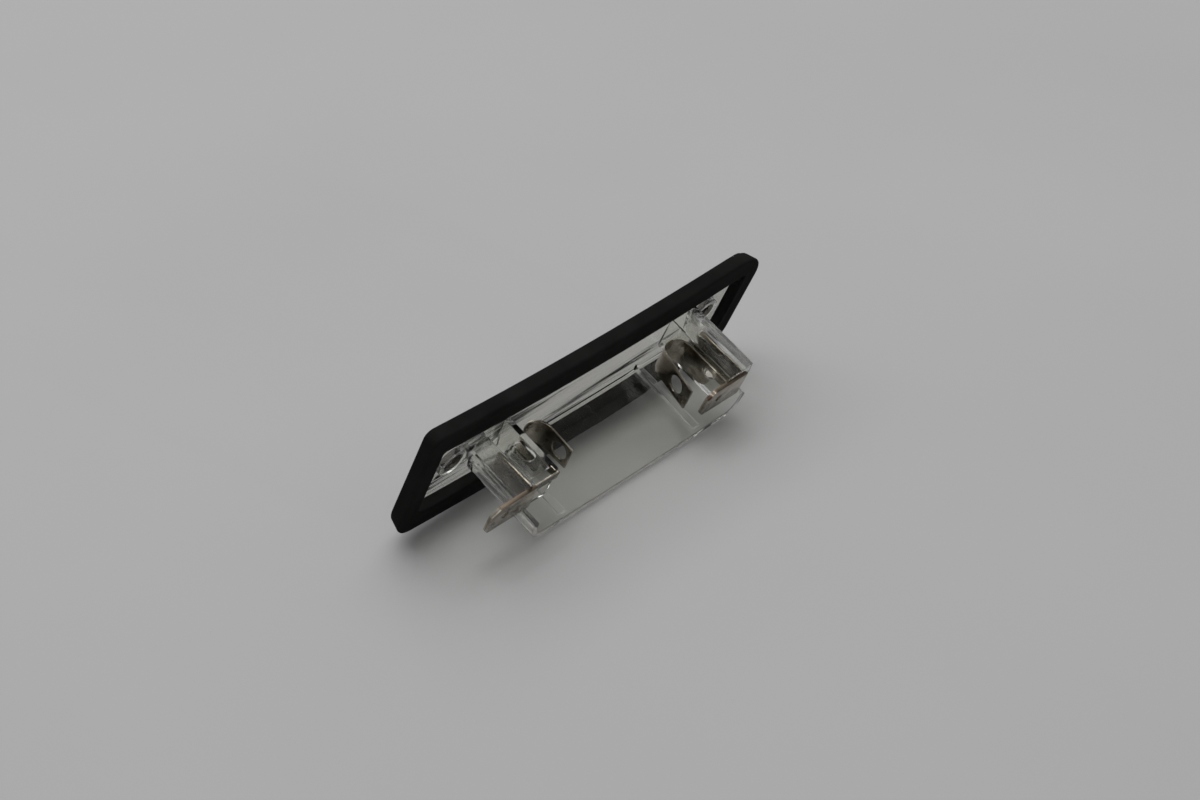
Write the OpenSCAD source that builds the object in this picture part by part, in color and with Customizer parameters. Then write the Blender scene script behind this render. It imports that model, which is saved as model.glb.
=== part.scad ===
// Number plate lamp: a clear one-piece lens and bulb carrier, a rubber seal
// around its edge, and two stamped contacts for a 36 mm festoon bulb.
// The lens face lies on z = 0, the car body is towards +Z, the length runs
// along X, and the origin is midway between the two screw holes.
// The seal, the plate and the light shield follow the slight curve of the panel.

/* [Seal] */
// Length of the rubber seal
seal_l = 92; // [90:0.5:110]
// Width of the rubber seal, before it is curved
seal_w = 30.6; // [29:0.2:36]
// How far the middle of the lamp is set towards -Y by the panel's curve
bow_depth = 2.2; // [0:0.1:3]
// Width of the rubber band along the long sides
band_y = 5.8; // [4.6:0.1:6.2]
// Width of the rubber band across the ends
band_x = 4.2; // [3.6:0.1:5]
// Thickness of the rubber that lies on the lens plate
lip_t = 2.2; // [1.4:0.1:3]
// How far the rubber reaches down round the edge of the lens plate
wrap_t = 0.7; // [0.4:0.1:1]
// Radius of the seal's outer corners
seal_r = 6; // [4.5:0.5:8]
// Radius of the corners of the seal's opening
opening_r = 2; // [1:0.5:5]
// Radius of the seal's outer rear edge
seal_edge = 0.5; // [0.2:0.1:0.9]

/* [Lens plate] */
// Thickness of the clear plate
plate_t = 1.5; // [1.2:0.1:2.2]
// Width of the rubber outside the edge of the plate
plate_inset = 2.4; // [1.4:0.1:3]
// Distance between the two screw holes
hole_span = 70.4; // [69:0.2:74]
// Diameter of a screw hole
hole_d = 4.2; // [3.2:0.1:4.6]
// Diameter of the recess for a screw head, on the lens side
head_d = 7.2; // [6:0.2:7.6]
// Depth of the recess for a screw head
head_depth = 0.8; // [0.4:0.1:1]
// Width of the raised ring round a screw hole
boss_wall = 1.2; // [0.8:0.1:1.6]
// Height of the raised ring above the plate
boss_h = 1; // [0.4:0.1:1.4]

/* [Contact sleeves] */
// Sideways place of the bulb's axis
axis_y = -0.4; // [-1:0.1:0.4]
// Length of a sleeve along X
sleeve_l = 7.1; // [6.6:0.1:7.6]
// Thickness of a sleeve's walls
sleeve_wall = 0.8; // [0.7:0.05:0.9]
// Thickness of the right sleeve's outer wall
outer_wall = 1.7; // [1.4:0.1:1.9]
// Height of the left sleeve above the lens face
left_sleeve_z = 15.4; // [14.6:0.1:16.4]
// Height of the right sleeve above the lens face
right_sleeve_z = 18.3; // [17.4:0.1:19]
// How much lower the left sleeve's open side ends
left_step = 1.2; // [0.4:0.1:2]
// Width of the window in a sleeve's open side
window_w = 2.2; // [1.6:0.1:2.6]
// Radius of the window's corners
window_r = 0.8; // [0.3:0.1:0.8]
// Height of the windows' lower edge above the lens face
window_z = 6.8; // [5:0.1:8]
// Height of the left window
left_window_h = 4.6; // [3:0.1:5]
// Height of the right window
right_window_h = 6.7; // [4:0.1:8]

/* [Light shield] */
// Gap between the long wall and the seal's opening
shield_gap = 1.1; // [0.6:0.1:1.4]
// Thickness of the long wall and its ends
shield_t = 1.2; // [0.9:0.1:1.4]
// Height of the long wall above the lens face
shield_z = 19.8; // [19.4:0.1:21.5]
// Distance over which the wall's ends sweep round to the sleeves
end_sweep = 3.5; // [2.5:0.1:4.5]
// Length of the foot that an end wall puts along the left sleeve
foot_l = 2.5; // [1.5:0.1:3]
// Width of a rib on the long wall
rib_w = 1.8; // [1.2:0.1:2.4]
// Depth of a rib
rib_d = 0.8; // [0.4:0.1:1.2]
// Distance between the two ribs
rib_span = 38.2; // [36:0.2:40]
// How far a rib ends below the long wall's free edge
rib_step = 1; // [0.4:0.1:2]

/* [Contacts] */
// Thickness of the spring strip, which is folded double at the blades
strip_t = 0.4; // [0.3:0.05:0.5]
// Width of a blade
blade_w = 6.3; // [4.8:0.1:6.6]
// Cut-off corner at a blade's tip
blade_taper = 1.4; // [0.8:0.1:1.8]
// Diameter of the latch hole in a blade
latch_d = 1.7; // [1.2:0.1:2]
// Distance of the latch hole from the blade's tip
latch_x = 4; // [3.4:0.1:4.6]
// Width of the strip where it turns round
strip_w = 6; // [5.4:0.1:6.2]
// Width of a leaf at its tip
leaf_w = 5.3; // [4.8:0.1:5.4]
// Width of the neck that joins a blade to its spring
neck_w = 1.8; // [1.4:0.1:2.6]
// Length of the neck below the bridge
neck_l = 3.4; // [2.8:0.1:4]
// Radius of the corner beside the neck
leg_r = 2.6; // [1:0.1:2.8]
// Radius of the spring's turn, at the middle of the strip
turn_r = 3; // [2.6:0.1:3.2]
// Height of the left turn's centre above the lens face
left_turn_z = 7.4; // [6.8:0.1:8]
// Height of the right turn's centre above the lens face
right_turn_z = 7.9; // [6.8:0.1:8.2]
// Height of the left leaf's tip
left_leaf_z = 13.6; // [13.2:0.1:14.4]
// Height of the right leaf's tip
right_leaf_z = 16.1; // [15:0.1:16.8]
// Lean of the right leaf towards the bulb, in degrees
right_lean = 12; // [1:1:14]
// Distance between the two leaves at the holes for the bulb's caps
leaf_span = 32; // [30:0.2:33]
// Place of the bulb's middle along X
leaf_mid_x = 1; // [0:0.1:1.4]
// Diameter of the hole that takes the bulb's end cap
cap_hole_d = 3.8; // [3:0.1:4]
// Height of the left cap hole above the lens face
left_cap_z = 11; // [10.6:0.1:11.2]
// Height of the right cap hole above the lens face
right_cap_z = 12.1; // [11:0.1:12.6]
// Free length of the left blade beyond its sleeve
left_blade_l = 10; // [8:0.5:12]
// Free length of the right blade beyond its sleeve
right_blade_l = 6.2; // [5.4:0.2:7]
// Distance of an anchoring leg's end from the plate
anchor_gap = 4.7; // [3:0.1:6]
// Gap between a contact and the sleeve that it clips over
clip_gap = 0.1; // [0.05:0.05:0.2]
// Gap between the right anchoring leg and the sleeve's outer wall
anchor_play = 0.3; // [0.1:0.1:0.5]

/* [Hidden] */
$fn = 48;
EDGE_STEPS = 14;   // straight pieces in each curved long edge
ARC_STEPS = 8;     // straight pieces in each rounded corner
LAYERS = 4;        // steps in the seal's rounded rear edge
CUT = 0.5;         // how far a cutter runs past a face
JOIN = 0.1;        // how far joined pieces of strip run into one another
SEAL_FIT = 0.1;    // gap between the plate's edge and the rubber
SLOT_FIT = 0.15;   // gap on each side of a blade's width in its sleeve

hole_x = hole_span / 2;
boss_d = hole_d + 2 * boss_wall;

blade_t = 2 * strip_t;
slot_w = blade_w + 2 * SLOT_FIT;
sleeve_w = slot_w + 2 * sleeve_wall;
sleeve_low_y = axis_y - sleeve_w / 2;
sleeve_high_y = axis_y + sleeve_w / 2;

// The inner leg of each contact stands where the spring's turn starts
left_leg_x = leaf_mid_x - leaf_span / 2 - 2 * turn_r;
right_root_z = right_turn_z - turn_r * sin(right_lean);
right_leg_x = leaf_mid_x + leaf_span / 2 + turn_r * (1 + cos(right_lean))
    + (right_cap_z - right_root_z) * tan(right_lean);
left_sleeve_x = left_leg_x - strip_t / 2 - clip_gap - sleeve_l;
right_sleeve_x = right_leg_x + strip_t / 2 + clip_gap;
anchor_z = plate_t + anchor_gap;

shield_y = seal_w / 2 - band_y - shield_gap - shield_t;
shield_left_x = left_sleeve_x + end_sweep;
shield_right_x = right_sleeve_x + sleeve_l - end_sweep;

// Sideways shift of the panel's curve at a given x
function bow(x) = bow_depth * (1 - pow(2 * x / seal_l, 2));

// Curves a list of points with the panel
function bowed(points) = [for (p = points) [p.x, p.y - bow(p.x)]];

// Points of a quarter circle
function corner(cx, cy, r, from) =
    [for (i = [0:ARC_STEPS]) [cx + r * cos(from + 90 * i / ARC_STEPS), cy + r * sin(from + 90 * i / ARC_STEPS)]];

// Points between two ends of a straight edge, without the ends
function between(a, b) = [for (i = [1:EDGE_STEPS - 1]) a + (b - a) * i / EDGE_STEPS];

// Rounded rectangle whose long edges have points to bend at
function rounded(l, w, r) = let (x = l / 2 - r, y = w / 2 - r) concat(
    corner(x, y, r, 0), between([x, w / 2], [-x, w / 2]),
    corner(-x, y, r, 90), corner(-x, -y, r, 180),
    between([-x, -w / 2], [x, -w / 2]), corner(x, -y, r, 270));

function reversed(points) = [for (i = [len(points) - 1:-1:0]) points[i]];

// Layer of the seal's outer shape, set in from its edge all round
module layer(inset, z0, z1) {
    translate([0, 0, z0])
        linear_extrude(z1 - z0)
            polygon(bowed(rounded(seal_l - 2 * inset, seal_w - 2 * inset, seal_r - inset)));
}

// Box given by its lowest and highest corners
module block(low, high) {
    translate(low) cube(high - low);
}

// Stands a flat outline drawn in Y and Z up at a given x, with a thickness along X
module upright(x, thickness) {
    translate([x - thickness / 2, 0, 0])
        rotate([90, 0, 90])
            linear_extrude(thickness)
                children();
}

// Flat rectangle with rounded corners, given by its lowest corner
module rounded_square(low, size, r) {
    translate(low + [r, 0]) square([size.x - 2 * r, size.y]);
    translate(low + [0, r]) square([size.x, size.y - 2 * r]);
    for (x = [r, size.x - r], y = [r, size.y - r]) translate(low + [x, y]) circle(r);
}

module seal() {
    top = plate_t + lip_t;
    color("#1c1c1c")
    difference() {
        // The rear edge is rounded in a few steps
        for (i = [0:LAYERS]) {
            layer(seal_edge * (1 - cos(90 * i / LAYERS)), plate_t - wrap_t,
                  top - seal_edge * (1 - sin(90 * i / LAYERS)));
        }
        translate([0, 0, -CUT])
            linear_extrude(top + 2 * CUT)
                polygon(bowed(rounded(seal_l - 2 * band_x, seal_w - 2 * band_y, opening_r)));
        layer(plate_inset - SEAL_FIT, -CUT, plate_t);
    }
}

// Clear sleeve, open at its free end, that a contact clips over
module sleeve(x0, wall_right, top, open_side_z, window_x, window_h) {
    low_x = x0 + sleeve_wall;
    high_x = x0 + sleeve_l - wall_right;
    difference() {
        block([x0, sleeve_low_y, 0.5 * plate_t], [x0 + sleeve_l, sleeve_high_y, top]);
        block([low_x, axis_y - slot_w / 2, plate_t], [high_x, axis_y + slot_w / 2, top + CUT]);
        block([low_x, axis_y, open_side_z], [high_x, sleeve_high_y + CUT, top + CUT]);
        translate([0, sleeve_high_y + CUT, 0])
            rotate([90, 0, 0])
                linear_extrude(sleeve_wall + 2 * CUT)
                    rounded_square([window_x, window_z], [window_w, window_h], window_r);
    }
}

// Long wall that keeps light off the panel, with its two ribs
module shield() {
    inner = -shield_y;
    outer = -shield_y - shield_t;
    long_edge = [for (i = [0:EDGE_STEPS]) shield_left_x + (shield_right_x - shield_left_x) * i / EDGE_STEPS];
    translate([0, 0, 0.5 * plate_t])
        linear_extrude(shield_z - 0.5 * plate_t)
            polygon(bowed(concat([for (x = long_edge) [x, outer]], [for (x = reversed(long_edge)) [x, inner]])));
    for (side = [-1, 1]) {
        x = leaf_mid_x + side * rib_span / 2;
        y = inner - bow(x);
        block([x - rib_w / 2, y - shield_t / 2, 0.5 * plate_t], [x + rib_w / 2, y + rib_d, shield_z - rib_step]);
    }
}

// Curved wall from an end of the long wall to the side of a sleeve
module end_wall(from_x, to_x) {
    turn = sign(to_x - from_x);
    low = -shield_y - shield_t / 2 - bow(from_x);
    reach = abs(to_x - from_x) - shield_t / 2;
    rise = sleeve_low_y - low + shield_t / 4;
    // Quarter ellipse, grown to either side of the wall's middle
    function quarter(grow) = [for (i = [0:ARC_STEPS]) let (a = 90 * i / ARC_STEPS)
        [from_x + turn * (reach + grow) * sin(a), low + rise - (rise + grow) * cos(a)]];
    translate([0, 0, 0.5 * plate_t])
        linear_extrude(shield_z - 0.5 * plate_t)
            polygon(concat(quarter(shield_t / 2), reversed(quarter(-shield_t / 2))));
}

// Foot that the left end wall puts along its sleeve, under the blade
module foot() {
    translate([left_sleeve_x, sleeve_low_y, 0.5 * plate_t])
        linear_extrude(left_sleeve_z - 0.5 * plate_t) {
            translate([-shield_t / 2, 0]) square([shield_t, foot_l - shield_t / 2]);
            translate([0, foot_l - shield_t / 2]) circle(shield_t / 2);
        }
}

module screw_boss(x) {
    translate([x, 0, 0.5 * plate_t]) cylinder(d = boss_d, h = 0.5 * plate_t + boss_h);
}

module screw_hole(x) {
    translate([x, 0, -CUT]) cylinder(d = hole_d, h = plate_t + boss_h + 2 * CUT);
    translate([x, 0, -CUT]) cylinder(d = head_d, h = head_depth + CUT);
}

module lens_housing() {
    window_x = (sleeve_l - window_w) / 2;
    color("#dfe8ea", 0.45)
    difference() {
        union() {
            layer(plate_inset, 0, plate_t);
            for (side = [-1, 1]) screw_boss(side * hole_x);
            sleeve(left_sleeve_x, sleeve_wall, left_sleeve_z, left_sleeve_z - left_step,
                   left_sleeve_x + window_x + sleeve_wall, left_window_h);
            sleeve(right_sleeve_x, outer_wall, right_sleeve_z, right_sleeve_z,
                   right_sleeve_x + window_x, right_window_h);
            shield();
            end_wall(shield_left_x, left_sleeve_x);
            end_wall(shield_right_x, right_sleeve_x + sleeve_l);
            foot();
        }
        for (side = [-1, 1]) screw_hole(side * hole_x);
    }
}

// Flat blade with the bridge over its sleeve, seen from above
module blade(tip_x, end_x, bottom) {
    half = blade_w / 2;
    translate([0, axis_y, bottom])
        linear_extrude(blade_t)
            difference() {
                polygon([[tip_x, -half + blade_taper / 2], [tip_x + blade_taper / 2, -half],
                         [end_x, -half], [end_x, half],
                         [tip_x + 1.5 * blade_taper, half], [tip_x, half - blade_taper]]);
                translate([tip_x + latch_x, 0]) circle(d = latch_d);
            }
}

// Half a turn of strip round an axis along Y, from the leg at x to the leaf's root
// side is 1 where the leaf stands towards +X of the leg, and -1 where it stands towards -X
module turn(leg_x, z, side, lean) {
    translate([leg_x + side * turn_r, axis_y, z])
        mirror([side > 0 ? 0 : 1, 0, 0])
            rotate([90, 180, 0])
                rotate_extrude(angle = 180 - lean)
                    translate([turn_r - strip_t / 2, -strip_w / 2]) square([strip_t, strip_w]);
}

// Leaf from the turn's end to its tip, narrowing upwards, with the hole for a bulb's cap
module leaf(root_x, root_z, tip_z, cap_z, side, lean) {
    length = (tip_z - root_z) / cos(lean);
    cap = (cap_z - root_z) / cos(lean);
    translate([root_x, axis_y, root_z])
        rotate([0, side * lean, 0])
            upright(0, strip_t)
                difference() {
                    polygon([[-strip_w / 2, -JOIN], [strip_w / 2, -JOIN], [leaf_w / 2, length], [-leaf_w / 2, length]]);
                    translate([0, cap]) circle(d = cap_hole_d);
                }
}

// Inner leg: wide at the turn, with one rounded corner, and a narrow neck up to the bridge
module inner_leg(x, turn_z, bridge_z) {
    low_y = axis_y - strip_w / 2;
    wide_h = bridge_z - neck_l - turn_z;
    upright(x, strip_t)
        translate([low_y, turn_z]) {
            translate([0, -JOIN]) square([strip_w, wide_h - leg_r + JOIN]);
            translate([leg_r, 0]) square([strip_w - leg_r, wide_h]);
            translate([leg_r, wide_h - leg_r]) circle(leg_r);
            translate([strip_w - neck_w, 0]) square([neck_w, bridge_z + strip_t - turn_z]);
        }
}

// Leg that hangs inside the sleeve from the blade and anchors the contact
module anchor_leg(x, top) {
    upright(x, strip_t)
        translate([axis_y - leaf_w / 2, anchor_z]) square([leaf_w, top - anchor_z]);
}

module left_contact() {
    anchor_x = left_sleeve_x + sleeve_wall + clip_gap + strip_t / 2;
    neck_y = axis_y + strip_w / 2;
    color("#8a7a68")
    union() {
        blade(left_sleeve_x - left_blade_l, anchor_x + strip_t / 2, left_sleeve_z);
        block([anchor_x, neck_y - neck_w, left_sleeve_z], [left_leg_x + strip_t / 2, neck_y, left_sleeve_z + strip_t]);
        anchor_leg(anchor_x, left_sleeve_z + strip_t);
        inner_leg(left_leg_x, left_turn_z, left_sleeve_z);
        turn(left_leg_x, left_turn_z, 1, 0);
        leaf(left_leg_x + 2 * turn_r, left_turn_z, left_leaf_z, left_cap_z, 1, 0);
    }
}

module right_contact() {
    anchor_x = right_sleeve_x + sleeve_l - outer_wall - anchor_play - strip_t / 2;
    root_x = right_leg_x - turn_r * (1 + cos(right_lean));
    color("#8a7a68")
    union() {
        blade(right_sleeve_x - right_blade_l, anchor_x + strip_t / 2, right_sleeve_z);
        anchor_leg(anchor_x, right_sleeve_z + strip_t);
        inner_leg(right_leg_x, right_turn_z, right_sleeve_z);
        turn(right_leg_x, right_turn_z, -1, right_lean);
        leaf(root_x, right_root_z, right_leaf_z, right_cap_z, -1, right_lean);
    }
}

seal();
lens_housing();
left_contact();
right_contact();
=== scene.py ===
# %% [markdown]
# # A number plate lamp, dressed
#
# The lamp is one clear moulding that is lens and bulb carrier at once, a rubber
# frame that seals it to the car's panel, and two stamped spring contacts. The
# solids come ready from the CAD model, so this file only makes their looks: soft
# edges, real surfaces, and a picture taken from the side of the bulb.

# %% Setup
import math

import bmesh
import bpy
import numpy as np
from mathutils import Matrix, Vector


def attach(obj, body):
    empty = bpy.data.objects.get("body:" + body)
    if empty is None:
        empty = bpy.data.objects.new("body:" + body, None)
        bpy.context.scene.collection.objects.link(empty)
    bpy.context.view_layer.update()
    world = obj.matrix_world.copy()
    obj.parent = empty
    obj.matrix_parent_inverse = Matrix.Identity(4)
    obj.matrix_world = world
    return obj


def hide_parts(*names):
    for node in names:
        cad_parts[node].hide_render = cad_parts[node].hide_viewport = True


MM = 0.001
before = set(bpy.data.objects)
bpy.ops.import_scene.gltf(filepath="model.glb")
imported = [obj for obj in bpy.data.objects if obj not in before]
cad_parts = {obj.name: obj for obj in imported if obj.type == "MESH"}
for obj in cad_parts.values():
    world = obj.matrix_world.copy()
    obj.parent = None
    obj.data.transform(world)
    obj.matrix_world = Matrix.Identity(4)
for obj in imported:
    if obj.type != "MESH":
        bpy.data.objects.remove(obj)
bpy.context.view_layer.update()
print("nodes:", sorted(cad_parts))

# %% [markdown]
# ## The camera
#
# The lamp lies on a table on its long edge, so in the lamp's own frame the
# camera looks across the length from behind, and it is rolled. A camera in
# Blender looks along its own -Z with +Y up. It is aimed by a track quaternion,
# and the roll turns it about its own axis afterwards.

# %% Camera
CAMERA_PLACE = Vector((-297.33, 358.86, 142.40)) * MM
CAMERA_TARGET = Vector((1.308, -1.480, 6.288)) * MM
CAMERA_ROLL = math.radians(135.77)
LENS_MM = 76.66
SENSOR_MM = 36
NEAREST_SEEN = 0.01


def make_camera():
    """The camera's own axes are the aim's axes turned by the roll about its line of sight."""
    camera = bpy.data.objects.new("camera", bpy.data.cameras.new("camera"))
    bpy.context.collection.objects.link(camera)
    camera.data.sensor_width = SENSOR_MM
    camera.data.lens = LENS_MM
    camera.data.clip_start = NEAREST_SEEN
    aim = (CAMERA_TARGET - CAMERA_PLACE).to_track_quat("-Z", "Y").to_matrix()
    turned = aim @ Matrix.Rotation(CAMERA_ROLL, 3, "Z")
    camera.matrix_world = Matrix.Translation(CAMERA_PLACE) @ turned.to_4x4()
    bpy.context.scene.camera = camera


make_camera()
print("camera distance:", round((CAMERA_TARGET - CAMERA_PLACE).length, 3), "m")

# %% [markdown]
# ## Small tools for node trees
#
# A material here is a handful of nodes. These helpers keep the cells short: each
# adds a node, links or fills its sockets, and most hand back the socket with the
# result, so that one call can be written inside the next. A pattern always
# starts from Object coordinates, because those stay on the piece from every side.

# %% Node helpers
def put(tree, value, socket):
    """Links another node's socket, or writes a plain value."""
    if isinstance(value, bpy.types.NodeSocket):
        tree.links.new(value, socket)
    else:
        socket.default_value = value


def add(tree, kind, **values):
    """Adds a node; a keyword is a socket's name with _ for spaces."""
    node = tree.nodes.new(kind)
    for name, value in values.items():
        put(tree, value, node.inputs[name.replace("_", " ")])
    return node


def maths(tree, operation, *values):
    """Adds a Math node and hands back its result."""
    node = tree.nodes.new("ShaderNodeMath")
    node.operation = operation
    for socket, value in zip(node.inputs, values):
        put(tree, value, socket)
    return node.outputs["Value"]


def vector_maths(tree, operation, *values):
    """The same for vectors; only a distance comes out as a number."""
    node = tree.nodes.new("ShaderNodeVectorMath")
    node.operation = operation
    for socket, value in zip(node.inputs, values):
        put(tree, value, socket)
    return node.outputs["Value" if operation == "DISTANCE" else "Vector"]


def mix_shaders(tree, factor, first, second):
    """The first shader where the factor is 0 and the second where it is 1."""
    node = tree.nodes.new("ShaderNodeMixShader")
    for socket, value in zip(node.inputs, (factor, first, second)):
        tree.links.new(value, socket)
    return node.outputs[0]


def own_place(tree):
    """Where a point lies on its own piece, in metres."""
    return tree.nodes.new("ShaderNodeTexCoord").outputs["Object"]


def own_place_mm(tree):
    """The same in millimetres."""
    return vector_maths(tree, "MULTIPLY", own_place(tree), (1 / MM, 1 / MM, 1 / MM))


def new_material(name):
    """A material, its tree and the Principled BSDF that is already wired to the output."""
    material = bpy.data.materials.new(name)
    material.use_nodes = True
    tree = material.node_tree
    return material, tree, tree.nodes["Principled BSDF"]


def set_surface(tree, shader):
    """Puts a shader in the place of the Principled BSDF that the output shows at first."""
    tree.links.new(shader, tree.nodes["Material Output"].inputs["Surface"])


print("node helpers:", [helper.__name__ for helper in (put, add, maths, vector_maths, mix_shaders)])


# %% [markdown]
# ## A group for mottling and grain
#
# Rubber, plastic and metal all show a fine grain that scatters the highlight,
# and a mottling at a larger scale. Both could be painted, but a noise of the
# object's own coordinates needs no picture and never repeats. A group is built
# once and given its own sizes in each material.

# %% Mottle group
def new_group(name, inputs, outputs):
    """An empty group with named sockets, and its input and output nodes."""
    group = bpy.data.node_groups.new(name, "ShaderNodeTree")
    for label, kind, value in inputs:
        socket = group.interface.new_socket(label, in_out="INPUT", socket_type=kind)
        socket.default_value = value
    for label, kind in outputs:
        group.interface.new_socket(label, in_out="OUTPUT", socket_type=kind)
    return group, group.nodes.new("NodeGroupInput"), group.nodes.new("NodeGroupOutput")


def make_mottle_group():
    """Two noises, one coarse for colour and one fine for the surface; a noise's scale is 1 / its size."""
    group, start, end = new_group(
        "mottle",
        [("Patch mm", "NodeSocketFloat", 8.0), ("Grain mm", "NodeSocketFloat", 0.3)],
        [("Patches", "NodeSocketFloat"), ("Grain", "NodeSocketFloat")],
    )
    place = own_place(group)
    for size, label, detail in (("Patch mm", "Patches", 4.0), ("Grain mm", "Grain", 2.0)):
        scale = maths(group, "DIVIDE", 1 / MM, start.outputs[size])
        noise = add(group, "ShaderNodeTexNoise", Vector=place, Scale=scale, Detail=detail)
        group.links.new(noise.outputs["Fac"], end.inputs[label])
    return group


def add_group(tree, group, **values):
    """Places a group in a tree; a keyword is an input's name with _ for spaces."""
    node = tree.nodes.new("ShaderNodeGroup")
    node.node_tree = group
    for name, value in values.items():
        node.inputs[name.replace("_", " ")].default_value = value
    return node


mottle = make_mottle_group()
print("mottle sockets:", [item.name for item in mottle.interface.items_tree])

# %% [markdown]
# ## Groups that mark a place
#
# Some marks sit in known places: a contact is tarnished where it turns, and a
# screw hole is painted dark as shade. A round place is marked by its distance from
# a centre, and a wall or an edge by a box round it. Both masks come from the
# object's own coordinates, so no map has to be unwrapped or painted.

# %% Spot and box groups
def make_spot_group():
    """1 where the distance from the centre is under the radius, falling to 0 across the border."""
    group, start, end = new_group(
        "spot",
        [("Centre mm", "NodeSocketVector", (0, 0, 0)), ("Radius mm", "NodeSocketFloat", 1.0),
         ("Border mm", "NodeSocketFloat", 0.5)],
        [("Mask", "NodeSocketFloat")],
    )
    centre, radius, border = (start.outputs[name] for name in ("Centre mm", "Radius mm", "Border mm"))
    away = vector_maths(group, "DISTANCE", own_place_mm(group), centre)
    outer = maths(group, "ADD", radius, border)
    mask = add(
        group, "ShaderNodeMapRange", Value=away, From_Min=radius, From_Max=outer, To_Min=1.0, To_Max=0.0
    )
    group.links.new(mask.outputs["Result"], end.inputs["Mask"])
    return group


def box_mask(tree, middle, half):
    """1 where the largest of |place - middle| / half, over the three axes, is under 1."""
    away = vector_maths(tree, "SUBTRACT", own_place_mm(tree), middle)
    size = vector_maths(tree, "ABSOLUTE", away)
    share = vector_maths(tree, "DIVIDE", size, half)
    parts = add(tree, "ShaderNodeSeparateXYZ", Vector=share)
    larger = maths(tree, "MAXIMUM", parts.outputs["X"], parts.outputs["Y"])
    largest = maths(tree, "MAXIMUM", larger, parts.outputs["Z"])
    return maths(tree, "LESS_THAN", largest, 1.0)


def make_box_group():
    """The mask of a box, with its middle and half sizes as inputs."""
    group, start, end = new_group(
        "box",
        [("Middle mm", "NodeSocketVector", (0, 0, 0)), ("Half mm", "NodeSocketVector", (1, 1, 1))],
        [("Mask", "NodeSocketFloat")],
    )
    mask = box_mask(group, start.outputs["Middle mm"], start.outputs["Half mm"])
    group.links.new(mask, end.inputs["Mask"])
    return group


spot = make_spot_group()
box = make_box_group()


def strongest(tree, masks):
    """The highest of several masks."""
    total = masks[0]
    for mask in masks[1:]:
        total = maths(tree, "MAXIMUM", total, mask)
    return total


def add_spots(tree, centres, radius, border):
    """One mask for round places; all lengths in millimetres."""
    nodes = [add_group(tree, spot, Centre_mm=c, Radius_mm=radius, Border_mm=border) for c in centres]
    return strongest(tree, [node.outputs["Mask"] for node in nodes])


def middle_and_half(low, high):
    """A box's middle and half sizes, from its lowest and highest corner."""
    middle = [(a + b) / 2 for a, b in zip(low, high)]
    half = [(b - a) / 2 for a, b in zip(low, high)]
    return middle, half


def add_boxes(tree, boxes):
    """One mask for boxes, each given by its lowest and highest corner in millimetres."""
    masks = []
    for low, high in boxes:
        middle, half = middle_and_half(low, high)
        masks.append(add_group(tree, box, Middle_mm=middle, Half_mm=half).outputs["Mask"])
    return strongest(tree, masks)


print("mask groups:", spot.name, box.name)

# %% [markdown]
# ## Blends
#
# A noise lies mostly between 0.3 and 0.7, so that part is stretched to whatever
# range a finish needs. Colours are laid over one another like coats of paint,
# each where its mask says, and a bump turns a height into a tilted normal.

# %% Blending helpers
NOISE_LOW, NOISE_HIGH = 0.3, 0.7


def spread(tree, value, low, high):
    """Maps a noise's middle part onto low to high, in a straight line."""
    node = add(
        tree, "ShaderNodeMapRange", Value=value, From_Min=NOISE_LOW, From_Max=NOISE_HIGH, To_Min=low,
        To_Max=high,
    )
    return node.outputs["Result"]


def blend_colours(tree, factor, first, second):
    """Mixes two colours by a factor; a colour is three numbers or another blend's result."""
    node = tree.nodes.new("ShaderNodeMix")
    node.data_type = "RGBA"
    tree.links.new(factor, node.inputs["Factor"])
    for name, colour in (("A", first), ("B", second)):
        is_blend = isinstance(colour, bpy.types.NodeSocket)
        put(tree, colour if is_blend else (*colour, 1), node.inputs[name])
    return node.outputs["Result"]


def bump(tree, height, depth_mm):
    """Normals of a surface that is raised by the height times the depth."""
    return add(tree, "ShaderNodeBump", Height=height, Distance=depth_mm * MM).outputs["Normal"]


print("noise is stretched from", NOISE_LOW, "to", NOISE_HIGH)

# %% [markdown]
# ## Black rubber
#
# The seal is moulded rubber, dull and nearly black. Its highlight is broad and
# weak, and moulded skin has a fine grain. A little pale dust sits on it in
# patches, so colour and roughness follow the same mottling.

# %% Rubber
RUBBER = (0.0090, 0.0090, 0.0088)
RUBBER_DUSTY = (0.0140, 0.0140, 0.0135)
RUBBER_ROUGH = (0.72, 0.9)
RUBBER_SHINE = 0.015
SKIN_DEPTH = 0.03


def make_rubber():
    """Dust in patches over black, and a fine skin."""
    material, tree, shader = new_material("black_rubber")
    marks = add_group(tree, mottle, Patch_mm=6.0, Grain_mm=0.22)
    patches = marks.outputs["Patches"]
    colour = blend_colours(tree, spread(tree, patches, 0, 1), RUBBER, RUBBER_DUSTY)
    put(tree, colour, shader.inputs["Base Color"])
    put(tree, spread(tree, patches, *RUBBER_ROUGH), shader.inputs["Roughness"])
    put(tree, bump(tree, marks.outputs["Grain"], SKIN_DEPTH), shader.inputs["Normal"])
    shader.inputs["Specular IOR Level"].default_value = RUBBER_SHINE
    return material


rubber = make_rubber()
print("made", rubber.name)
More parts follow.
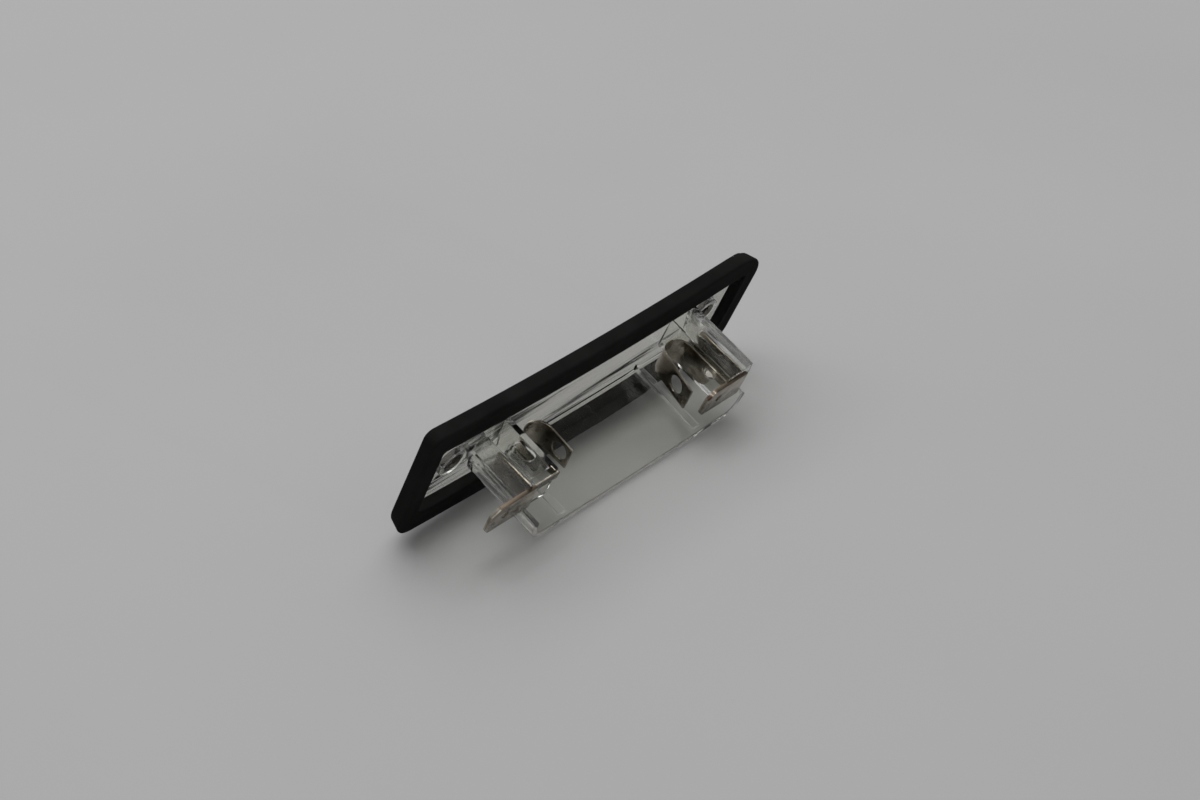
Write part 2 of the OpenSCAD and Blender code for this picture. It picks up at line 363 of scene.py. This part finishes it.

# %% [markdown]
# ## Clear plastic
#
# The lens is one clear moulding. Plain glass with a real plastic's index of
# refraction, about 1.58, draws hard black lines at every edge. On this piece
# they are soft and light, so the index is lowered. Shadow rays are partly let
# through, since a path tracer that gathers no light through glass would give a
# clear part a black shadow.
#
# The plate looks darker and warmer than the walls, and it shows the streaks that
# plastic leaves as it flows along the mould. The free edges are soiled, the
# screw holes are painted dark inside as shade, and the ribs, the foot and one
# outer wall are frosted: rougher, with a veil of sheen. The exported model leaves
# out a sheen that nodes drive, so there the roughness alone shows the frost.

# %% Clear plastic
CLEAR = (0.90, 0.905, 0.875)
CLEAR_PLATE = (0.76, 0.755, 0.715)
CLEAR_SOILED = (0.32, 0.31, 0.29)
# Painted shade: a dark tint for the insides of the screw holes.
CLEAR_HOLE_SHADE = (0.05, 0.045, 0.04)
CLEAR_IOR = 1.22
LIGHT_THROUGH = 0.62
POLISH = (0.03, 0.09)
MATT = 0.22
RIB_X = (-18.1, 20.1)
RIB_HALF = 1.1
REACH = 60.0
PLATE_LOW, PLATE_HIGH = -1.0, 1.6
RIM_LOW, RIM_HIGH = 19.58, 30.0
RIB_WALLS = [((x - RIB_HALF, -14.0, 2.0), (x + RIB_HALF, -7.9, 19.3)) for x in RIB_X]
LEFT_FOOT = ((-29.2, -12.0, 3.0), (-27.7, 2.7, 17.0))
RIGHT_OUTER_WALL = ((28.55, -9.0, 3.0), (30.6, 9.0, 20.0))
FROSTED_WALLS = [*RIB_WALLS, LEFT_FOOT, RIGHT_OUTER_WALL]
PLATE = ((-REACH, -REACH, PLATE_LOW), (REACH, REACH, PLATE_HIGH))
RIM = ((-REACH, -REACH, RIM_LOW), (REACH, REACH, RIM_HIGH))
SCREW_PLACES = [(-35.2, 0.0, 1.5), (35.2, 0.0, 1.5)]
SCREW_HOLE, SCREW_HOLE_BORDER = 2.4, 0.25
SCREW_RING, SCREW_RING_BORDER = 4.2, 0.6
FLOW_PER_METRE = (30.0, 650.0, 650.0)
FLOW_DEPTH = 0.10


def clear_colour(tree, plate):
    """The plate's tint over the walls', then the soiled rims, then painted shade in the screw holes."""
    # Painted shade: the insides of the screw holes are darkened.
    hole_shade = add_spots(tree, SCREW_PLACES, SCREW_HOLE, SCREW_HOLE_BORDER)
    colour = blend_colours(tree, plate, CLEAR, CLEAR_PLATE)
    colour = blend_colours(tree, add_boxes(tree, [RIM]), colour, CLEAR_SOILED)
    return blend_colours(tree, hole_shade, colour, CLEAR_HOLE_SHADE)


def flow_normal(tree, plate):
    """A noise drawn out along the length, on the plate alone."""
    drawn_out = add(tree, "ShaderNodeMapping", Vector=own_place(tree), Scale=FLOW_PER_METRE)
    flow = add(tree, "ShaderNodeTexNoise", Vector=drawn_out.outputs[0], Scale=1.0, Detail=2.0)
    return bump(tree, maths(tree, "MULTIPLY", flow.outputs["Fac"], plate), FLOW_DEPTH)


def frost_mask(tree):
    """The frosted walls, by nodes of the material's own, because a group's mask feeds no sheen."""
    return strongest(tree, [box_mask(tree, *middle_and_half(*wall)) for wall in FROSTED_WALLS])


def make_clear_plastic():
    """A clear shader that lets a share of each shadow ray straight through."""
    material, tree, shader = new_material("clear_plastic")
    marks = add_group(tree, mottle, Patch_mm=3.5, Grain_mm=0.8)
    shader.inputs["Transmission Weight"].default_value = 1.0
    shader.inputs["IOR"].default_value = CLEAR_IOR
    plate = add_boxes(tree, [PLATE])
    put(tree, clear_colour(tree, plate), shader.inputs["Base Color"])
    frost = frost_mask(tree)
    put(tree, frost, shader.inputs["Sheen Weight"])
    matt = strongest(tree, [frost, add_spots(tree, SCREW_PLACES, SCREW_RING, SCREW_RING_BORDER)])
    polish = spread(tree, marks.outputs["Patches"], *POLISH)
    rough = add(tree, "ShaderNodeMix", Factor=matt, A=polish, B=MATT)
    put(tree, rough.outputs["Result"], shader.inputs["Roughness"])
    put(tree, flow_normal(tree, plate), shader.inputs["Normal"])
    is_shadow = tree.nodes.new("ShaderNodeLightPath").outputs["Is Shadow Ray"]
    through = tree.nodes.new("ShaderNodeBsdfTransparent").outputs[0]
    share = maths(tree, "MULTIPLY", is_shadow, LIGHT_THROUGH)
    set_surface(tree, mix_shaders(tree, share, shader.outputs[0], through))
    return material


clear_plastic = make_clear_plastic()
print("made", clear_plastic.name, "with", len(clear_plastic.node_tree.nodes), "nodes")

# %% [markdown]
# ## Tin-plated brass
#
# The contacts are stamped from plated strip. The plating has dulled to a warm
# grey-brown in patches. The two turns are tarnished, and the cut edges of the
# blades, where no plating covers the brass, have gone brown. The nick in one
# blade is a rusty spot, and the pressed catch has a painted highlight.
#
# Each blade is the strip folded on itself. The fold leaves a dark seam half-way
# up its edge, which is too fine to model and is drawn in colour instead.

# %% Plated metal
METAL_FRESH = (0.56, 0.525, 0.455)
METAL_DULL = (0.20, 0.17, 0.135)
METAL_TARNISHED = (0.125, 0.110, 0.088)
METAL_BROWNED = (0.115, 0.088, 0.064)
METAL_RUSTY = (0.045, 0.02, 0.01)
# Painted highlight: a lighter colour for the pressed catch.
METAL_PAINTED_HIGHLIGHT = (0.78, 0.75, 0.68)
METAL_POLISH = (0.16, 0.30)
STRIP_GRAIN_DEPTH = 0.01
TURN_PLACES = [(-15.0, -0.2, 9.2), (16.8, -0.2, 9.6)]
WARM_PLACE = (22.8, 2.0, 9.8)
NICK_PLACE = (18.6, 1.8, 18.9)
CATCH_PLACE = (22.78, 1.55, 14.4)
# Each stain, and the painted highlight on the catch, has a colour, its places, a radius and a soft
# border, both in millimetres.
STAINS_AND_HIGHLIGHT = [
    (METAL_TARNISHED, TURN_PLACES, 2.4, 2.2),
    (METAL_BROWNED, [WARM_PLACE], 0.6, 2.0),
    (METAL_RUSTY, [NICK_PLACE], 0.5, 0.35),
    # Painted highlight over the pressed catch.
    (METAL_PAINTED_HIGHLIGHT, [CATCH_PLACE], 1.6, 0.3),
]
CUT_EDGES = [
    ((-40.0, 2.6, 15.2), (-16.0, 3.2, 16.4)),
    ((18.8, 2.6, 18.1), (31.0, 3.2, 19.3)),
    ((18.6, 2.2, 18.1), (19.8, 3.2, 19.3)),
]
LEFT_FOLD, RIGHT_FOLD, FOLD_HALF = 15.8, 18.7, 0.06


def fold_mask(tree):
    """1 where |z - fold| < FOLD_HALF, and the fold is RIGHT_FOLD where x > 0 and LEFT_FOLD elsewhere."""
    split = add(tree, "ShaderNodeSeparateXYZ", Vector=own_place(tree))
    is_right = maths(tree, "GREATER_THAN", split.outputs["X"], 0.0)
    fold = maths(tree, "MULTIPLY_ADD", is_right, (RIGHT_FOLD - LEFT_FOLD) * MM, LEFT_FOLD * MM)
    return maths(tree, "COMPARE", split.outputs["Z"], fold, FOLD_HALF * MM)


def make_plated_metal():
    """Dull patches over fresh plating, then each stain and the painted highlight, the cut edges and the
    fold's seam.
    """
    material, tree, shader = new_material("plated_metal")
    marks = add_group(tree, mottle, Patch_mm=2.2, Grain_mm=0.15)
    patches = marks.outputs["Patches"]
    colour = blend_colours(tree, spread(tree, patches, 0, 1), METAL_FRESH, METAL_DULL)
    for stain_or_highlight, places, radius, border in STAINS_AND_HIGHLIGHT:
        colour = blend_colours(tree, add_spots(tree, places, radius, border), colour, stain_or_highlight)
    colour = blend_colours(tree, add_boxes(tree, CUT_EDGES), colour, METAL_BROWNED)
    colour = blend_colours(tree, fold_mask(tree), colour, METAL_TARNISHED)
    put(tree, colour, shader.inputs["Base Color"])
    shader.inputs["Metallic"].default_value = 1.0
    put(tree, spread(tree, patches, *METAL_POLISH), shader.inputs["Roughness"])
    put(tree, bump(tree, marks.outputs["Grain"], STRIP_GRAIN_DEPTH), shader.inputs["Normal"])
    return material


plated_metal = make_plated_metal()
print("made", plated_metal.name, "with", len(plated_metal.node_tree.nodes), "nodes")

# %% [markdown]
# ## Soft edges
#
# The CAD solids have knife edges, which no moulding or stamping has. Each node
# is copied, its loose triangles are merged and flat faces joined, and a bevel
# modifier rounds every edge a little. The long edges of the ribs are rounder
# than the rest in the real moulding, so a first bevel works on their points
# alone. The copy then stands for the node.

# %% Softened copies
MERGE_MM, FLAT_DEGREES = 0.002, 0.6
EDGE_DEGREES, EDGE_SEGMENTS = 30, 3
PLASTIC_EDGE, METAL_EDGE = 0.22, 0.05
RIB_ROUND, RIB_SEGMENTS = 0.6, 4
RIB_EDGES = [((x - RIB_HALF, -8.3, 1.0), (x + RIB_HALF, -8.1, 19.0)) for x in RIB_X]


def merge_mesh(mesh):
    """Joins a node's loose triangles and then its flat faces."""
    work = bmesh.new()
    work.from_mesh(mesh)
    bmesh.ops.remove_doubles(work, verts=work.verts, dist=MERGE_MM * MM)
    bmesh.ops.dissolve_limit(
        work, angle_limit=math.radians(FLAT_DEGREES), verts=work.verts, edges=work.edges,
        delimit={"NORMAL"},
    )
    for face in work.faces:
        face.smooth = True
    work.to_mesh(mesh)
    work.free()


def near_indices(mesh, boxes):
    """Indices of the vertices inside any of the boxes, each (low, high) in millimetres."""
    place = np.empty(len(mesh.vertices) * 3)
    mesh.vertices.foreach_get("co", place)
    place = place.reshape(-1, 3) / MM
    inside = [np.all((place > low) & (place < high), axis=1) for low, high in boxes]
    return np.flatnonzero(np.any(inside, axis=0)).tolist()


def round_ribs(piece, boxes):
    """A bevel of its own for the vertices inside the boxes."""
    picked = near_indices(piece.data, boxes)
    piece.vertex_groups.new(name="round ribs").add(picked, 1.0, "REPLACE")
    ribs = piece.modifiers.new("round ribs", "BEVEL")
    ribs.width = RIB_ROUND * MM
    ribs.segments = RIB_SEGMENTS
    ribs.limit_method = "VGROUP"
    ribs.vertex_group = "round ribs"
    print(piece.name, "rib corners:", len(picked))


def softened(node_name, piece_name, material, radius_mm, round_points=()):
    """A copy of a CAD node with merged corners and a live bevel of the given radius."""
    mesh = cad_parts[node_name].data.copy()
    piece = bpy.data.objects.new(piece_name, mesh)
    bpy.context.collection.objects.link(piece)
    merge_mesh(mesh)
    if round_points:
        round_ribs(piece, round_points)
    bevel = piece.modifiers.new("soft edges", "BEVEL")
    bevel.width = radius_mm * MM
    bevel.segments = EDGE_SEGMENTS
    bevel.limit_method = "ANGLE"
    bevel.angle_limit = math.radians(EDGE_DEGREES)
    bevel.harden_normals = True
    bevel.use_clamp_overlap = True
    mesh.materials.clear()
    mesh.materials.append(material)
    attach(piece, "root")
    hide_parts(node_name)
    print(piece_name, "faces before bevel:", len(mesh.polygons))


softened("lens_housing", "clear_lens_body", clear_plastic, PLASTIC_EDGE, RIB_EDGES)
softened("left_contact", "left_spring_contact", plated_metal, METAL_EDGE)
softened("right_contact", "right_spring_contact", plated_metal, METAL_EDGE)

# %% [markdown]
# ## Surfaces from grids
#
# The new pieces are grids of points worked out as whole arrays. Rows and columns
# of the grid become rings of the mesh, and each face joins four neighbours, so
# one helper makes the faces of every such piece, and one makes its object.

# %% Grid helpers
def grid_faces(rows, columns, closed=False):
    """Faces (i, j), (i, j + 1), (i + 1, j + 1), (i + 1, j); columns close round, rows where asked."""
    row = np.arange(rows if closed else rows - 1)[:, None]
    column = np.arange(columns)[None, :]
    next_row, next_column = (row + 1) % rows, (column + 1) % columns
    corners = [(row, column), (row, next_column), (next_row, next_column), (next_row, column)]
    return np.stack([i * columns + j for i, j in corners], axis=-1).reshape(-1, 4)


def new_piece(name, points, faces, material):
    """A smooth mesh object at the origin, with its points in metres."""
    mesh = bpy.data.meshes.new(name)
    mesh.from_pydata(points.tolist(), [], faces)
    mesh.polygons.foreach_set("use_smooth", [True] * len(faces))
    mesh.materials.append(material)
    piece = bpy.data.objects.new(name, mesh)
    bpy.context.collection.objects.link(piece)
    return piece


print("faces of a closed 3 by 4 grid:", len(grid_faces(3, 4, closed=True)))

# %% [markdown]
# ## The pressed catch
#
# A small dome is pressed into the right contact's inner leg, where it grips the
# sleeve. It is longer than it is wide, so it is an ellipse drawn out into a
# dome: rings shrink towards the top while they rise, and a rounding power makes
# its foot run softly into the strip.

# %% Pressed catch
CATCH_SIZE = (0.8, 1.0, 1.6)
CATCH_POWER = 1.5
CATCH_RINGS, CATCH_TURNS = 10, 32


def make_catch():
    """Ellipses of the share s, each at the height (1 - s^2) ^ power.

    A point is x = -depth * (1 - s^2) ^ power, y = half_y * s * cos(a) and
    z = half_z * s * sin(a), with s from 0 at the top to 1 at the foot.
    """
    depth, half_y, half_z = CATCH_SIZE
    share = np.linspace(0, 1, CATCH_RINGS + 1)[1:]
    angle = np.linspace(0, 2 * np.pi, CATCH_TURNS, endpoint=False)
    s, a = np.meshgrid(share, angle, indexing="ij")
    rise = -depth * (1 - s ** 2) ** CATCH_POWER
    rings = np.stack([rise, half_y * s * np.cos(a), half_z * s * np.sin(a)], axis=-1)
    top = np.array([[-depth, 0.0, 0.0]])
    points = (np.concatenate([top, rings.reshape(-1, 3)]) + np.array(CATCH_PLACE)) * MM
    turn = np.arange(CATCH_TURNS)
    fan = np.column_stack([0 * turn, 1 + (turn + 1) % CATCH_TURNS, 1 + turn])
    faces = fan.tolist() + (grid_faces(CATCH_RINGS, CATCH_TURNS) + 1).tolist()
    catch = new_piece("pressed_catch", points, faces, plated_metal)
    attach(catch, "root")
    print("pressed_catch faces:", len(faces))


make_catch()

# %% [markdown]
# ## The rubber frame
#
# The seal is a section carried round a rounded rectangle that bends with the
# panel. Its section has a round outer rear edge, a slightly hollow rear face, a
# small round at the opening, and a step below that holds the plate. Soft rubber
# doesn't keep four equal corners, so each corner has its own radius, front and
# rear, and the rings between them change from one to the other.

# %% Swept seal
SEAL_L, SEAL_W, BOW = 92.0, 30.6, 2.2
BAND_X, BAND_Y = 4.2, 5.8
FRONT_R = np.array([10.0, 2.0, 6.5, 6.0])
REAR_R = np.array([8.0, 2.6, 4.2, 6.0])
OPENING_R, LEAST_R = 1.0, 0.3
FRONT_Z, STEP_Z, REAR_Z = 0.8, 1.5, 3.7
STEP_INSET, PLATE_GAP = 2.3, 0.02
OUTER_ROUND, INNER_ROUND, LIP_ROUND = 0.55, 0.35, 0.25
HOLLOW_DEPTH, HOLLOW_POINTS = 0.12, 9
HOLLOW_START, HOLLOW_END = 0.15, 0.85
SIDE_STEPS, CORNER_STEPS, ROUND_STEPS = 40, 12, 5
SEAL_SHARP = math.radians(50)


def rounded_loop(half_x, half_y, radii):
    """Points of a rounded rectangle, always the same number, so that two loops make a grid.

    A corner's points are centre + radius * (cos a, sin a) with a over a quarter turn, and a
    side's points are spread evenly from one corner's last point to the next one's first.
    """
    arcs = []
    for k, (sx, sy) in enumerate(((1, 1), (-1, 1), (-1, -1), (1, -1))):
        angles = np.radians(90.0 * k + np.linspace(0, 90, CORNER_STEPS + 1))
        centre = np.array([sx * (half_x - radii[k]), sy * (half_y - radii[k])])
        arcs.append(centre + radii[k] * np.column_stack([np.cos(angles), np.sin(angles)]))
    share = np.linspace(0, 1, SIDE_STEPS + 1)[1:-1, None]
    points = []
    for arc, following in zip(arcs, arcs[1:] + arcs[:1]):
        points += [arc, arc[-1] + (following[0] - arc[-1]) * share]
    return np.concatenate(points)


def quarter(inset, height, radius, start):
    """A quarter round of the section: centre + radius * (cos a, sin a), a falling from the start."""
    angles = np.radians(start + np.linspace(0, -90, ROUND_STEPS + 1))
    return np.column_stack([inset + radius * np.cos(angles), height + radius * np.sin(angles)])


def seal_section():
    """Inset from the outer edge and height, once round the section.

    The rear face is REAR_Z - HOLLOW_DEPTH * sin^2(pi * share) across the band.
    """
    share = np.linspace(HOLLOW_START, HOLLOW_END, HOLLOW_POINTS)
    across = OUTER_ROUND + share * (BAND_Y - OUTER_ROUND - INNER_ROUND)
    hollow = np.column_stack([across, REAR_Z - HOLLOW_DEPTH * np.sin(np.pi * share) ** 2])
    floor = STEP_Z + PLATE_GAP
    return np.concatenate([
        quarter(LIP_ROUND, FRONT_Z + LIP_ROUND, LIP_ROUND, 270),
        quarter(OUTER_ROUND, REAR_Z - OUTER_ROUND, OUTER_ROUND, 180),
        hollow,
        quarter(BAND_Y - INNER_ROUND, REAR_Z - INNER_ROUND, INNER_ROUND, 90),
        [(BAND_Y, floor), (STEP_INSET, floor), (STEP_INSET, FRONT_Z)],
    ])


def make_seal():
    """One loop for each point of the section, at its inset and height.

    Every loop is moved along y by -BOW * (1 - (2 x / SEAL_L)^2). Its radii go from the front's to
    the rear's with the height, less the inset, and to the opening's from the step inwards.
    """
    rings = []
    for inset, height in seal_section():
        share = np.clip((inset - STEP_INSET) / (BAND_Y - STEP_INSET), 0, 1)
        inset_x = inset + (BAND_X - BAND_Y) * share
        rise = (height - FRONT_Z) / (REAR_Z - FRONT_Z)
        outer_radii = np.maximum(FRONT_R + (REAR_R - FRONT_R) * rise - inset, LEAST_R)
        radii = outer_radii * (1 - share) + OPENING_R * share
        loop = rounded_loop(SEAL_L / 2 - inset_x, SEAL_W / 2 - inset, radii)
        y = loop[:, 1] - BOW * (1 - (2 * loop[:, 0] / SEAL_L) ** 2)
        rings.append(np.column_stack([loop[:, 0], y, np.full(len(loop), height)]))
    grid = np.array(rings) * MM
    faces = grid_faces(*grid.shape[:2], closed=True).tolist()
    seal = new_piece("rubber_seal", grid.reshape(-1, 3), faces, rubber)
    seal.data.set_sharp_from_angle(angle=SEAL_SHARP)
    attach(seal, "root")
    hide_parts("seal")
    print("rubber_seal faces:", len(faces))


make_seal()

# %% [markdown]
# ## The table
#
# The lamp lies on two edges: the rear edge of the seal and the free edge of the
# light shield. The table is the plane through both. It is drawn from its upper
# side only, so a view from below still shows the lamp.

# %% Table
SEAL_TOUCH = np.array([0.0, -17.5, 3.7]) * MM
SHIELD_TOUCH = np.array([0.0, -10.6, 19.8]) * MM
ALONG = np.array([1.0, 0.0, 0.0])
TABLE_GREY, TABLE_CLOUDS = 0.43, 0.015
TABLE_ROUGH, TABLE_SHINE = 0.75, 0.2
TABLE_HALF = 1.6


def make_table_paint():
    """Grey paint with faint clouds, seen from its upper side and clear from below."""
    material, tree, shader = new_material("table_paint")
    marks = add_group(tree, mottle, Patch_mm=90.0, Grain_mm=2.0)
    greys = [(TABLE_GREY * (1 + change),) * 3 for change in (-TABLE_CLOUDS, TABLE_CLOUDS)]
    colour = blend_colours(tree, spread(tree, marks.outputs["Patches"], 0, 1), *greys)
    put(tree, colour, shader.inputs["Base Color"])
    shader.inputs["Roughness"].default_value = TABLE_ROUGH
    shader.inputs["Specular IOR Level"].default_value = TABLE_SHINE
    from_below = tree.nodes.new("ShaderNodeNewGeometry").outputs["Backfacing"]
    clear = tree.nodes.new("ShaderNodeBsdfTransparent").outputs[0]
    set_surface(tree, mix_shaders(tree, from_below, shader.outputs[0], clear))
    return material


def make_table():
    """The corners SEAL_TOUCH + TABLE_HALF * (a * along + b * across), with a and b each -1 or 1."""
    across = SHIELD_TOUCH - SEAL_TOUCH
    across /= np.linalg.norm(across)
    signs = np.array([(1, -1), (-1, -1), (-1, 1), (1, 1)])
    corners = SEAL_TOUCH + TABLE_HALF * signs @ np.array([ALONG, across])
    table = new_piece("table", corners, [(0, 1, 2, 3)], make_table_paint())
    print("table faces:", tuple(round(v, 3) for v in table.data.polygons[0].normal))


make_table()

# %% [markdown]
# ## Light
#
# A pale room, one wide soft lamp above the table, and two small ones that add
# the sparks of a real room to metal and clear edges. The world is seen by the
# camera and through the plastic as the table's own grey, so every view has the
# same backdrop, while the light it gives stays plain white.

# %% World and lamps
ROOM_LIGHT = 0.40
WHITE = (1, 1, 1, 1)
UP = np.cross(SHIELD_TOUCH - SEAL_TOUCH, ALONG)
UP = UP / np.linalg.norm(UP)
FAR_LEFT, LEAN = np.array([0.2, -0.4, -0.9]), 0.3
OVERHEAD = UP + FAR_LEFT * LEAN
WINDOW = (0.067, 0.619, 0.807)
# Each lamp has a name, a place and a width in metres, and a power in watts.
LAMPS = [
    ("ceiling_light", OVERHEAD, 1.3, 8.8),
    ("ceiling_spark", OVERHEAD, 0.09, 0.25),
    ("window_spark", WINDOW, 0.04, 0.35),
]


def make_world():
    """White light for what it lights, and the table's grey for what is looked at."""
    world = bpy.data.worlds.new("room")
    bpy.context.scene.world = world
    world.use_nodes = True
    tree = world.node_tree
    lit = tree.nodes["Background"]
    lit.inputs["Color"].default_value = WHITE
    lit.inputs["Strength"].default_value = ROOM_LIGHT
    seen = add(tree, "ShaderNodeBackground", Color=(TABLE_GREY, TABLE_GREY, TABLE_GREY, 1), Strength=1.0)
    path = tree.nodes.new("ShaderNodeLightPath").outputs
    is_looked_at = maths(tree, "MAXIMUM", path["Is Camera Ray"], path["Is Transmission Ray"])
    mixed = mix_shaders(tree, is_looked_at, lit.outputs[0], seen.outputs[0])
    tree.links.new(mixed, tree.nodes["World Output"].inputs["Surface"])


def add_soft_lamp(name, place, size, power):
    """A square area lamp that faces the origin."""
    light = bpy.data.lights.new(name, "AREA")
    light.size = size
    light.energy = power
    holder = bpy.data.objects.new(name, light)
    bpy.context.collection.objects.link(holder)
    holder.location = place
    holder.rotation_euler = (-Vector(place)).to_track_quat("-Z", "Y").to_euler()


make_world()
for name, place, size, power in LAMPS:
    add_soft_lamp(name, tuple(place), size, power)
bpy.context.scene.view_settings.view_transform = "Standard"
print("up:", np.round(UP, 3), "lamps:", len(LAMPS))
